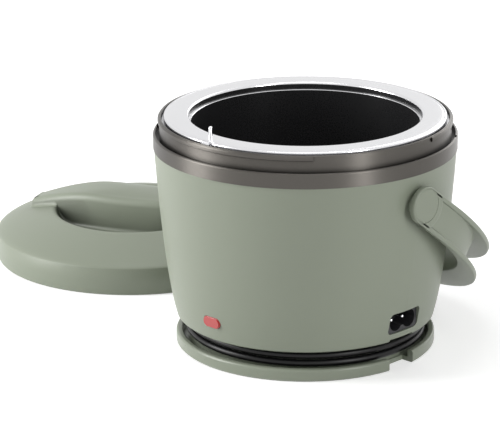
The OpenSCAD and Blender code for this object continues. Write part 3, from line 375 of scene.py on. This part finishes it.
def foot_point(p, n, a):
    """A point on the foot's flare, an angle in radians past its start."""
    x, y = inside(p, n, -BAR_FLARE * (1 - math.cos(a)))
    return x, y, lid_height(math.hypot(x, y)) + BAR_FLARE * (1 - math.sin(a)) - BAR_SUNK


def grip_bar():
    """The bar in rings: the crown, a round shoulder, and a foot that flares onto the lid."""
    outline = list(zip(*bar_outline(44)))
    levels = [[crown_point(p, n, share) for p, n in outline] for share in CROWN_SHARES]
    levels += [[shoulder_point(p, n, a) for p, n in outline] for a in quarter(8)]
    levels += [[foot_point(p, n, a) for p, n in outline] for a in quarter(6)]
    levels += [[(*inside(p, n, -BAR_FLARE), FINGER_Z - FOOT_DEPTH) for p, n in outline]]
    count = len(outline)
    rings = [[i * count + k for k in range(count)] for i in range(len(levels))]
    verts = [Vector(v) * MM for level in levels for v in level]
    return verts, rings_to_faces(rings, cap_last=True)


def lug(turn):
    """A bayonet lug inside the lid's skirt."""
    root_r = LID_R - LID_WALL + LUG_ROOT
    return ring_sector(NECK_R + LUG_GAP, root_r, LUG_Z, LUG_TOP, turn, turn + LUG_SPAN)


lid_parts = [lathe(lid_profile(), LATHE_STEPS), grip_bar()] + [lug(turn) for turn in LUG_TURNS]
lid_place = Matrix.Translation(LID_AT * MM) @ Matrix.Rotation(math.radians(BAR_TURN), 4, "Z")
lid_dome = joined("lid_dome", lid_parts, lid_place)
soften(lid_dome, 40)
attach(lid_dome, "lid")
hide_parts("lid_shell")

# Handle: a channel-shaped strap swept round the bail, with a flat pad at each pivot
PIVOT_Z, ARM_X, STRAP_T, STRAP_W, RAIL_W = 90.3, 80.3, 2.4, 19.5, 2.6
ARM_STRAIGHT, WEB_REACH, RAIL_REACH, REST_DROP = 20.0, 99.0, 121.5, 37.0
WEB_X = ARM_X + STRAP_T
FACE_X = WEB_X + 1
PAD_R = STRAP_W / 2 + 3
CAP_R, CAP_T, CAP_GAP = STRAP_W / 2 - 1, 0.9, 0.1
# Soft edges and tight inner corners: their radii, and the points of their quarter rounds in radians
SOFT_R, TIGHT_R = 0.9, 0.45
SOFT_ROUND, TIGHT_ROUND, PAD_ROUND = (0.0, 0.52, 1.05, 1.57), (0.8, 1.57), (0.4, 0.8, 1.2, 1.57)
# The pad's straight sides in shares of their length, its back edge, and the cap's seat
PAD_SHARES, BACK_BEVEL = (0.35, 0.7), (0.3, 0.12)
SEAT_BEVEL, SEAT_DEEPER = 0.15, 0.05


def bail_line(half_w, reach, n):
    """Stations of one bail line in its own plane: straight arm, elliptical bow, straight arm."""
    arm = [(half_w, -ARM_STRAIGHT * i / 6) for i in range(6)]
    turns = [math.pi * i / n for i in range(n + 1)]
    bow = [(half_w * math.cos(a), -ARM_STRAIGHT - (reach - ARM_STRAIGHT) * math.sin(a)) for a in turns]
    return arm + bow + [(-x, z) for x, z in reversed(arm)]


def half_section(inner, web, rail):
    """Half the strap's section: a line that each point follows, its way to the side and outwards."""
    half, groove = STRAP_W / 2, STRAP_W / 2 - RAIL_W
    tight = [(TIGHT_R * (1 - math.sin(a)), TIGHT_R * (1 - math.cos(a))) for a in TIGHT_ROUND]
    soft = [(SOFT_R * (1 - math.sin(a)), SOFT_R * (1 - math.cos(a))) for a in SOFT_ROUND]
    section = [(web, 0.0, 0.0), (web, groove - TIGHT_R, 0.0)]
    section += [(web, groove - s, c) for s, c in tight]
    section += [(rail, groove + c, -s) for s, c in soft]
    section += [(rail, half - s, -c) for s, c in soft]
    section += [(inner, half - c, s) for s, c in soft]
    return section


def bail_strap():
    """The strap's sections round the bail, each square to the line from its web to its rails."""
    n = 96
    sizes = (ARM_X, WEB_REACH - STRAP_T), (WEB_X, WEB_REACH), (FACE_X, RAIL_REACH)
    lines = [bail_line(half_w, reach, n) for half_w, reach in sizes]
    verts, rings = [], []
    for station in zip(*lines):
        inner, web, rail = [Vector((x, 0, z)) for x, z in station]
        out = (rail - web).normalized()
        half = half_section(inner, web, rail)
        section = half + [(p, -h, d) for p, h, d in reversed(half)][:-1]
        rings.append([len(verts) + k for k in range(len(section))])
        verts += [(p + out * d + Vector((0, h, 0))) * MM for p, h, d in section]
    return verts, rings_to_faces(rings, cap_first=True, cap_last=True)


def bail_pad(side):
    """The flat end of an arm: a half round above, an arc onto the web below, and a seat for the cap."""
    half, face = STRAP_W / 2, FACE_X - ARM_X
    low = math.degrees(math.asin(half / PAD_R))
    drop = PAD_R * math.cos(math.radians(low))
    outline = arc(0, 0, half, 0, 180, 32)
    outline += [(-half, -drop * t) for t in PAD_SHARES]
    outline += arc(0, 0, PAD_R, 270 - low, 270 + low, 20)
    outline += [(half, -drop * t) for t in reversed(PAD_SHARES)]
    edges = [(SOFT_R, 0.0), BACK_BEVEL, (0.0, SOFT_R), (0.0, face - SOFT_R)]
    edges += [(SOFT_R * (1 - math.cos(a)), face - SOFT_R * (1 - math.sin(a))) for a in PAD_ROUND]
    seat_r = CAP_R + CAP_GAP
    seat_floor = face - CAP_T - SEAT_DEEPER
    seat = [(seat_r + SEAT_BEVEL, face), (seat_r, face - SEAT_BEVEL), (seat_r, seat_floor)]
    verts, rings = [], []

    def add_ring(depth, radius_at):
        rings.append([len(verts) + k for k in range(len(outline))])
        for h, z in outline:
            r = math.hypot(h, z)
            verts.append(Vector((side * (ARM_X + depth), h * radius_at(r) / r, z * radius_at(r) / r)) * MM)

    for inset, depth in edges:
        add_ring(depth, lambda r: r - inset)
    for radius, depth in seat:
        add_ring(depth, lambda r: radius)
    return verts, rings_to_faces(rings, cap_first=True, cap_last=True)


rest_place = Matrix.Translation((0, 0, PIVOT_Z * MM)) @ Matrix.Rotation(math.radians(90 - REST_DROP), 4, "X")
bail = joined("bail", [bail_strap(), bail_pad(1), bail_pad(-1)], rest_place)
soften(bail, 40)
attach(bail, "handle")
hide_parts("carry_handle")

# Pot: the steel rim has a rolled edge with a fine groove beside it, and the step below the mouth is crisp
RIM_Z, RIM_R, RIM_T, RIM_ROLL, MOUTH_R, MOUTH_ROUND = 123.1, 73.4, 0.6, 0.9, 60.4, 1.2
STEP_D, POT_WALL, POT_IN_R, POT_DEPTH, POT_CORNER = 3.8, 1.0, 59.2, 68.9, 13.0
STEP_Z, POT_FLOOR = RIM_Z - STEP_D, RIM_Z - POT_DEPTH
BEAD_IN, BEAD_OUT, BEAD_Z, BEAD_BEVEL = 63.4, 65.4, RIM_Z - 2.8, 0.3
ROLL_START, ROLL_FOOT, ROLL_DROP = RIM_R - 2.3, RIM_R - 1.5, 0.3
# The groove's points, inwards from the edge and down, and the radii that hold the rim's flat top
GROOVE = ((1.3, 0.05), (1.7, 0.18), (2.1, 0.05), (2.5, 0.0))
RIM_FLAT = (RIM_R - 6, MOUTH_R + 3)
CRISP_UP, CRISP_IN, CRISP_OVER, CRISP_DOWN = 0.3, 0.2, 0.05, 0.2


def pot_profile():
    """The pot's section in metres: up its outside, under and over the rim, and down inside."""
    under, out_r = RIM_Z - RIM_T, MOUTH_R + POT_WALL
    corner_r, corner_z = POT_IN_R - POT_CORNER, POT_FLOOR + POT_CORNER
    points = [(0.0, POT_FLOOR - POT_WALL)]
    points += arc(corner_r, corner_z, POT_CORNER + POT_WALL, -90, 0, 12)
    points += [(POT_IN_R + POT_WALL, STEP_Z - POT_WALL), (out_r, STEP_Z), (out_r, under)]
    points += [(BEAD_IN, under), (BEAD_IN, BEAD_Z + BEAD_BEVEL), (BEAD_IN + BEAD_BEVEL, BEAD_Z)]
    points += [(BEAD_OUT - BEAD_BEVEL, BEAD_Z), (BEAD_OUT, BEAD_Z + BEAD_BEVEL), (BEAD_OUT, under)]
    points += [(ROLL_START, under), (ROLL_FOOT, under - ROLL_DROP)]
    points += arc(RIM_R - RIM_ROLL, RIM_Z - RIM_ROLL, RIM_ROLL, -120, 90, 14)
    points += [(RIM_R - inward, RIM_Z - depth) for inward, depth in GROOVE]
    points += [(r, RIM_Z) for r in RIM_FLAT]
    points += arc(MOUTH_R + MOUTH_ROUND, RIM_Z - MOUTH_ROUND, MOUTH_ROUND, 90, 180, 8)
    points += [(MOUTH_R, STEP_Z + CRISP_UP), (POT_IN_R + CRISP_IN, STEP_Z + CRISP_OVER)]
    points += [(POT_IN_R, STEP_Z - CRISP_DOWN)]
    points += arc(corner_r, corner_z, POT_CORNER, 0, -90, 12)
    points += [(0.0, POT_FLOOR)]
    return [(r * MM, z * MM) for r, z in points]


pot_bowl = piece_from("pot_bowl", *lathe(pot_profile(), LATHE_STEPS))
soften(pot_bowl, 35)
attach(pot_bowl, "pot")
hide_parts("food_pot")

# Materials: each is procedural, with its own grain, unevenness and gloss; some also have painted shade in
# hollows
BROAD_GRAIN = 26
RELIEF = 0.6
COAT_ROUGH = 0.1
TURNED_ROTATION = 0.25


def add_node(tree, kind, linked=None, values=None, **settings):
    """A new shader node with its settings, its inputs' values and the sockets linked to them."""
    made = tree.nodes.new("ShaderNode" + kind)
    for key, value in settings.items():
        setattr(made, key, value)
    for key, value in (values or {}).items():
        made.inputs[key].default_value = value
    for key, socket in (linked or {}).items():
        tree.links.new(socket, made.inputs[key])
    return made


def material(name, colour, rough, metallic=0.0, grain=900.0, bump=0.00004, vary=0.05, rough_vary=0.08,
             coat=0.0, stretch=(1, 1, 1), transmission=0.0, specular=0.5, turned=0.0,
             painted_shade_reach=0.0, painted_shade_own_only=False):
    """A principled material. A fine and a broad noise together vary its colour and its gloss.

    turned stretches highlights as on a turned metal. The shade reach, when set, is painted shade: ambient
    occlusion darkens the colour where the surface is hidden within that distance, by the piece's own
    surfaces alone if asked.
    """
    made = bpy.data.materials.new(name)
    made.use_nodes = True
    tree = made.node_tree
    shader = tree.nodes["Principled BSDF"]
    plain = {
        "Metallic": metallic, "Coat Weight": coat, "Coat Roughness": COAT_ROUGH,
        "Transmission Weight": transmission, "Specular IOR Level": specular,
    }
    if turned:
        lay = add_node(tree, "Tangent", direction_type="RADIAL", axis="Z")
        tree.links.new(lay.outputs["Tangent"], shader.inputs["Tangent"])
        plain.update({"Anisotropic": turned, "Anisotropic Rotation": TURNED_ROTATION})
    for key, value in plain.items():
        shader.inputs[key].default_value = value
    place = add_node(tree, "TexCoord").outputs["Object"]
    scaled = add_node(tree, "Mapping", {"Vector": place}, {"Scale": stretch}).outputs["Vector"]
    fine = add_node(tree, "TexNoise", {"Vector": scaled}, {"Scale": grain, "Detail": 3}).outputs["Fac"]
    broad = add_node(tree, "TexNoise", {"Vector": place}, {"Scale": BROAD_GRAIN, "Detail": 4}).outputs["Fac"]
    half = add_node(tree, "Math", {0: broad}, {1: 0.5}, operation="MULTIPLY").outputs[0]
    blend = add_node(tree, "Math", {0: fine, 2: half}, {1: 0.5}, operation="MULTIPLY_ADD").outputs[0]
    darker = (*[c * (1 - vary) for c in colour], 1)
    lighter = (*[min(c * (1 + vary), 1) for c in colour], 1)
    tint = add_node(tree, "Mix", {0: blend}, {6: darker, 7: lighter}, data_type="RGBA").outputs[2]
    # Painted shade: ambient occlusion darkens the colour in hollows, creases and gaps within the shade reach
    if painted_shade_reach:
        tint = add_node(
            tree, "AmbientOcclusion", {"Color": tint}, {"Distance": painted_shade_reach},
            samples=8, only_local=painted_shade_own_only,
        ).outputs["Color"]
    gloss = add_node(tree, "MapRange", {"Value": blend}, {
        "From Min": 0.25, "From Max": 0.75,
        "To Min": max(rough - rough_vary, 0.02), "To Max": min(rough + rough_vary, 1.0),
    }).outputs["Result"]
    relief = add_node(tree, "Bump", {"Height": fine}, {"Strength": RELIEF, "Distance": bump}).outputs[0]
    for key, socket in (("Base Color", tint), ("Roughness", gloss), ("Normal", relief)):
        tree.links.new(socket, shader.inputs[key])
    return made


def srgb(r, g, b):
    """A colour in the renderer's linear values from 0 to 255 as a screen shows it."""
    return tuple((c / 255 / 12.92) if c <= 10 else (((c / 255) + 0.055) / 1.055) ** 2.4 for c in (r, g, b))


SAGE = srgb(141, 148, 132)
looks = {
    "sage": material("sage_moulding", SAGE, 0.42, grain=1400, bump=0.00003, vary=0.03, rough_vary=0.05),
    # The lid's sage moulding with painted shade in its finger well and round the foot of its grip bar
    "sage_lid_painted_shade": material("sage_lid_painted_shade", SAGE, 0.42, grain=1400, bump=0.00003, vary=0.03, rough_vary=0.05,
                         painted_shade_reach=0.018, painted_shade_own_only=True),
    "sage_gloss": material("sage_tray", SAGE, 0.30, grain=1400, bump=0.00002, vary=0.03, rough_vary=0.05),
    # The ring's graphite lacquer, with painted shade in grooves and gaps within 3.5 mm, such as the slit
    # under the pot's rim
    "ring": material("graphite_lacquer", srgb(95, 92, 88), 0.43, metallic=1.0, grain=3200, vary=0.18,
                     rough_vary=0.06, turned=0.9, painted_shade_reach=0.0035),
    "steel": material("polished_steel", srgb(222, 222, 224), 0.19, metallic=1.0, grain=420, bump=0.000008,
                      vary=0.02, rough_vary=0.04),
    # Darker steel for the pot's outside; on the underside of the rim's rolled edge it is painted shade under
    # the rim
    "brushed_and_shaded": material("brushed_steel_and_painted_shade", srgb(176, 176, 179), 0.34, metallic=1.0, grain=800, bump=0.00002,
                        vary=0.04, turned=0.7),
    # Dark lining: the coating's own colour below the step, and painted dark reflection on the steel wall
    # above it
    "lining_and_dark_reflection": material("dark_lining_and_painted_reflection", srgb(34, 34, 35), 0.28, grain=1800, bump=0.00002, vary=0.10,
                       rough_vary=0.06),
    "alloy": material("drawn_alloy", srgb(186, 186, 188), 0.34, metallic=1.0, grain=700, bump=0.00003,
                      stretch=(1, 1, 0.05)),
    "silicone": material("silicone_band", srgb(176, 84, 52), 0.55, grain=1600, bump=0.00005),
    "wool": material("felted_wool", srgb(222, 216, 196), 0.95, grain=2600, bump=0.0004, vary=0.12),
    "dark": material("dark_moulding", srgb(38, 38, 40), 0.42, grain=2200, vary=0.08),
    "plate": material("grey_moulding", srgb(70, 72, 70), 0.5, grain=2200, bump=0.00005, vary=0.06),
    "ceramic": material("ceramic", srgb(222, 218, 210), 0.25, bump=0.00002),
    "lens": material("red_lens", srgb(186, 62, 60), 0.2, bump=0.00002, coat=0.5, specular=0.6),
    "bulb": material("bulb_glass", srgb(250, 190, 160), 0.05, grain=300, bump=0.000005, transmission=0.8),
    "blue": material("blue_wire", srgb(40, 60, 140), 0.4, grain=1500, bump=0.00002),
    "grey": material("grey_wire", srgb(170, 170, 164), 0.45, grain=1500, bump=0.00002),
    "red": material("red_wire", srgb(160, 40, 34), 0.4, grain=1500, bump=0.00002),
    "brass": material("brass", srgb(206, 170, 96), 0.22, metallic=1.0, grain=600, bump=0.00001),
    "cord": material("cord_sheath", srgb(12, 12, 13), 0.34, grain=1800, vary=0.10, specular=0.3),
    "pad": material("pad_rubber", srgb(44, 44, 44), 0.75, grain=2400, bump=0.0001, vary=0.08),
    "seal": material("seal_silicone", srgb(204, 204, 200), 0.5, grain=1500, bump=0.00003),
    "liner": material("liner_moulding", srgb(214, 217, 208), 0.3, bump=0.00002, vary=0.03),
}
looks_of = {
    "base_tray": "sage_gloss", "foot_pads": "pad", "base_screws": "steel", "bottom_plate": "plate",
    "outer_shell": "sage", "collar_ring": "ring", "heating_well": "alloy", "heater_band": "silicone",
    "band_strap": "steel", "insulation_sleeve": "wool", "thermostat": "dark",
    "thermostat_bracket": "steel", "thermal_fuse": "ceramic", "fuse_clip": "steel",
    "inlet_socket": "dark", "inlet_pins": "steel", "inlet_screws": "steel",
    "lamp_lens": "lens", "lamp_bulb": "bulb", "lamp_holder": "plate",
    "mains_wires": "blue", "heater_wires": "grey", "lamp_wires": "red",
    "food_pot": "steel", "locating_pin": "steel", "pin_bracket": "alloy", "pin_clip": "steel",
    "carry_handle": "sage", "handle_cap_left": "sage", "handle_cap_right": "sage",
    "pivot_pin_left": "steel", "pivot_pin_right": "steel",
    "pivot_washer_left": "brass", "pivot_washer_right": "brass",
    "lid_shell": "sage", "lid_liner": "liner", "lid_gasket": "seal",
    "power_cord": "cord", "cord_connector": "cord", "plug_body": "cord", "plug_blades": "brass",
}
for name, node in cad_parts.items():
    node.data.materials.clear()
    node.data.materials.append(looks[looks_of[name]])
    soften(node)
lead.data.materials.append(looks["cord"])
lid_dome.data.materials.append(looks["sage_lid_painted_shade"])
bail.data.materials.append(looks["sage"])

# The pot: a dark lining below the bright steel step under its mouth, and painted dark reflection on the
# steel wall above the step; a brushed outside, whose darker tone under the rolled rim is painted shade
LINING_AND_REFLECTION_TOP, LINING_AND_REFLECTION_R = RIM_Z - MOUTH_ROUND + 0.25, MOUTH_R + 0.3
FACING_UP, STEP_BAND = 0.3, 0.5
for look_name in ("steel", "lining_and_dark_reflection", "brushed_and_shaded"):
    pot_bowl.data.materials.append(looks[look_name])
for polygon in pot_bowl.data.polygons:
    c, n = polygon.center / MM, polygon.normal
    inward = n.z > FACING_UP or n.x * c.x + n.y * c.y < 0
    on_step = n.z > FACING_UP and abs(c.z - STEP_Z) < STEP_BAND
    # The steel wall between the mouth and the step also takes the lining, as painted dark reflection
    if inward and not on_step and c.z < LINING_AND_REFLECTION_TOP and math.hypot(c.x, c.y) < LINING_AND_REFLECTION_R:
        polygon.material_index = 1
    # Outward faces below the rim's top sheet: brushed outside, and painted shade under the rolled rim
    elif not inward and c.z < RIM_Z - RIM_T:
        polygon.material_index = 2

# Floor: pale paper that also glows a little where the camera looks at it, more so further away
FLOOR_HALF, FLOOR_Z, FLOOR_GREY = 6, -0.0002, 0.8
GLOW_NEAR, GLOW_FAR, GLOW_FROM, GLOW_TO = 0.35, 1.3, 0.52, 0.84


def camera_share(tree):
    """1 for rays that see a surface directly, in a mirror or through glass."""
    path = add_node(tree, "LightPath").outputs
    seen = add_node(
        tree, "Math", {0: path["Is Camera Ray"], 1: path["Is Glossy Ray"]}, operation="MAXIMUM",
    ).outputs[0]
    return add_node(
        tree, "Math", {0: seen, 1: path["Is Transmission Ray"]}, operation="MAXIMUM",
    ).outputs[0]


corners = [(-1, -1), (1, -1), (1, 1), (-1, 1)]
floor_mesh = bpy.data.meshes.new("floor")
floor_mesh.from_pydata([(x * FLOOR_HALF, y * FLOOR_HALF, FLOOR_Z) for x, y in corners], [], [(0, 1, 2, 3)])
floor = bpy.data.objects.new("floor", floor_mesh)
scene.collection.objects.link(floor)
paper = bpy.data.materials.new("pale_floor")
paper.use_nodes = True
tree = paper.node_tree
tree.nodes.remove(tree.nodes["Principled BSDF"])
matt = add_node(tree, "BsdfDiffuse", values={"Color": (FLOOR_GREY, FLOOR_GREY, FLOOR_GREY, 1)})
spot = add_node(tree, "NewGeometry")
away = add_node(tree, "VectorMath", {0: spot.outputs["Position"]}, operation="LENGTH")
fade = add_node(tree, "MapRange", {"Value": away.outputs["Value"]}, {
    "From Min": GLOW_NEAR, "From Max": GLOW_FAR, "To Min": GLOW_FROM, "To Max": GLOW_TO,
})
lift = add_node(tree, "Math", {0: camera_share(tree), 1: fade.outputs["Result"]}, operation="MULTIPLY")
glow = add_node(tree, "Emission", {"Strength": lift.outputs[0]})
both = add_node(tree, "AddShader", {0: matt.outputs[0], 1: glow.outputs[0]})
tree.links.new(both.outputs[0], tree.nodes["Material Output"].inputs["Surface"])
floor_mesh.materials.append(paper)

# World: white where it is seen, and dimmer as a source of light
WORLD_LIGHT, WORLD_SEEN = 0.22, 1.0
world = bpy.data.worlds.new("studio")
scene.world = world
world.use_nodes = True
tree = world.node_tree
sky = tree.nodes["Background"]
sky.inputs["Color"].default_value = (1, 1, 1, 1)
level = add_node(tree, "MapRange", {"Value": camera_share(tree)}, {
    "To Min": WORLD_LIGHT, "To Max": WORLD_SEEN,
})
tree.links.new(level.outputs["Result"], sky.inputs["Strength"])


# Lights
def softbox(name, at, size, power, target=(0, 0, 0.06)):
    """A rectangular area light that faces the object."""
    light = bpy.data.lights.new(name, "AREA")
    light.shape = "RECTANGLE"
    light.size, light.size_y = size
    light.energy = power
    lamp = bpy.data.objects.new(name, light)
    scene.collection.objects.link(lamp)
    lamp.location = at
    lamp.rotation_mode = "QUATERNION"
    lamp.rotation_quaternion = (Vector(target) - Vector(at)).to_track_quat("-Z", "Y")


def around(turn, distance, height):
    """A place round the object, its angle in degrees to the right of the camera's side."""
    a = math.radians(turn)
    return (-ahead * math.cos(a) + aside * math.sin(a)) * distance + upward * height


softbox("key", around(-86, 1.05, 0.5), (0.45, 0.9), 12.5)
softbox("right_light", around(43, 1.1, 0.48), (0.2, 0.9), 5.4)
softbox("back_light", around(150, 1.1, 0.6), (0.8, 0.8), 4)
softbox("top_light", ahead * 0.2 + upward * 1.3, (0.5, 0.5), 2.5)

scene.view_settings.view_transform = "Standard"
